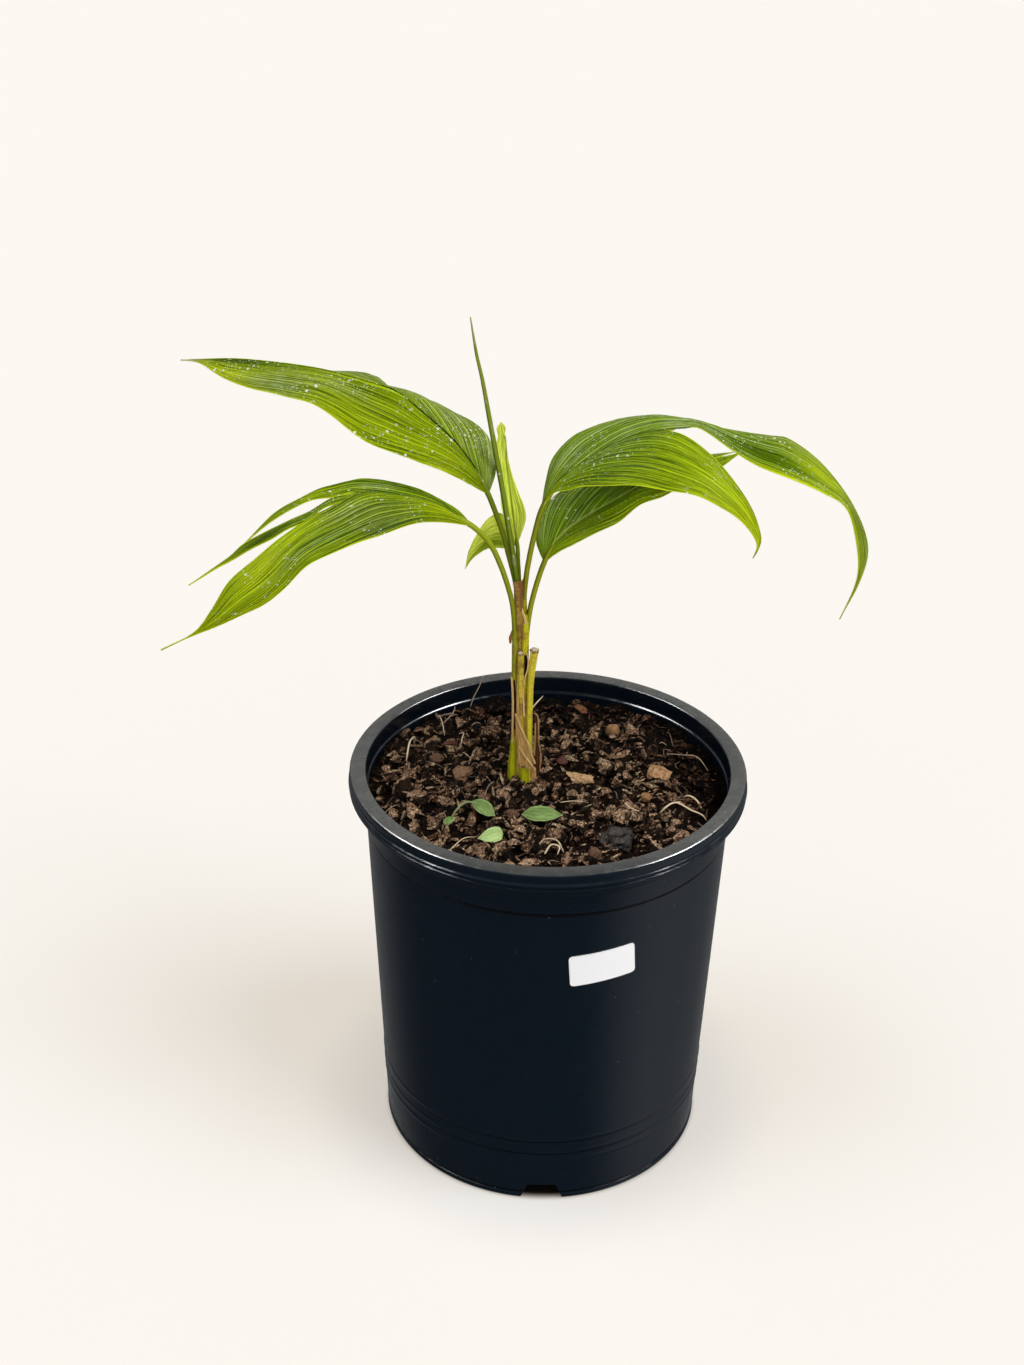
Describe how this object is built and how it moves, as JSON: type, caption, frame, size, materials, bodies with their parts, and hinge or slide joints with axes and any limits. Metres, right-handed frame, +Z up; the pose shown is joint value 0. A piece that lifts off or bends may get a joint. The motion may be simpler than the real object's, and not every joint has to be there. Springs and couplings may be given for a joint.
{
  "type": "potted dypsis palm",
  "caption": "Young feather palm with pleated, notched leaves on a slender stem, rooted in bark mix in a plain round nursery pot with a blank label",
  "frame": {"origin": "the centre of the flat pad under the pot, where the pot's axis meets the surface it stands on", "axes": "+Z up along the pot's axis, -Y towards the viewer of the picture, +X to the viewer's right"},
  "size_m": [0.3268, 0.2, 0.4391],
  "materials": {
    "pot_plastic": "navy-black moulded plastic with a satin sheen",
    "label_paper": "blank white self-adhesive label, satin",
    "potting_mix": "crumbly bark-based potting mix, matt",
    "stem_skin": "yellow-green stem with brown fibrous patches, satin",
    "leaf_green": "pleated green palm leaf, satin with a waxy sheen",
    "leaf_pale": "thin yellow-green young leaf, satin",
    "dry_sheath": "dry papery leaf sheath, matt",
    "weed_green": "small weed leaves, satin",
    "root_pale": "pale thin roots, matt",
    "pebble": "small tan stones, matt",
    "bark_red": "red-brown bark chips, matt",
    "bark_tan": "tan bark chips, matt"
  },
  "bodies": {
    "root": {"pot": "pot_plastic", "label": "label_paper", "soil": "potting_mix", "stem": "stem_skin", "frond_upper_left": "leaf_green", "frond_lower_left": "leaf_green", "frond_upper_right": "leaf_green", "frond_lower_right": "leaf_green", "young_leaf": "leaf_pale", "spear_leaf": "leaf_green", "cut_stalk": "stem_skin", "dry_sheath": "dry_sheath", "dry_strip": "dry_sheath", "weed_right": "weed_green", "weed_front": "weed_green", "weed_left": "weed_green", "root_right": "root_pale", "root_back_right": "root_pale", "root_left": "root_pale", "root_far_left": "root_pale", "pebble_tan": "pebble", "chip_tan_flat": "bark_tan", "husk_tan": "bark_tan", "pebble_small": "pebble", "chip_red": "bark_red", "shard_orange": "bark_red", "clod_dark": "potting_mix", "pebble_brown": "pebble", "chip_left_tan": "bark_tan", "chip_left_brown": "bark_tan", "chip_far_red": "bark_red", "chip_front_red": "bark_red"}
  },
  "joints": []
}
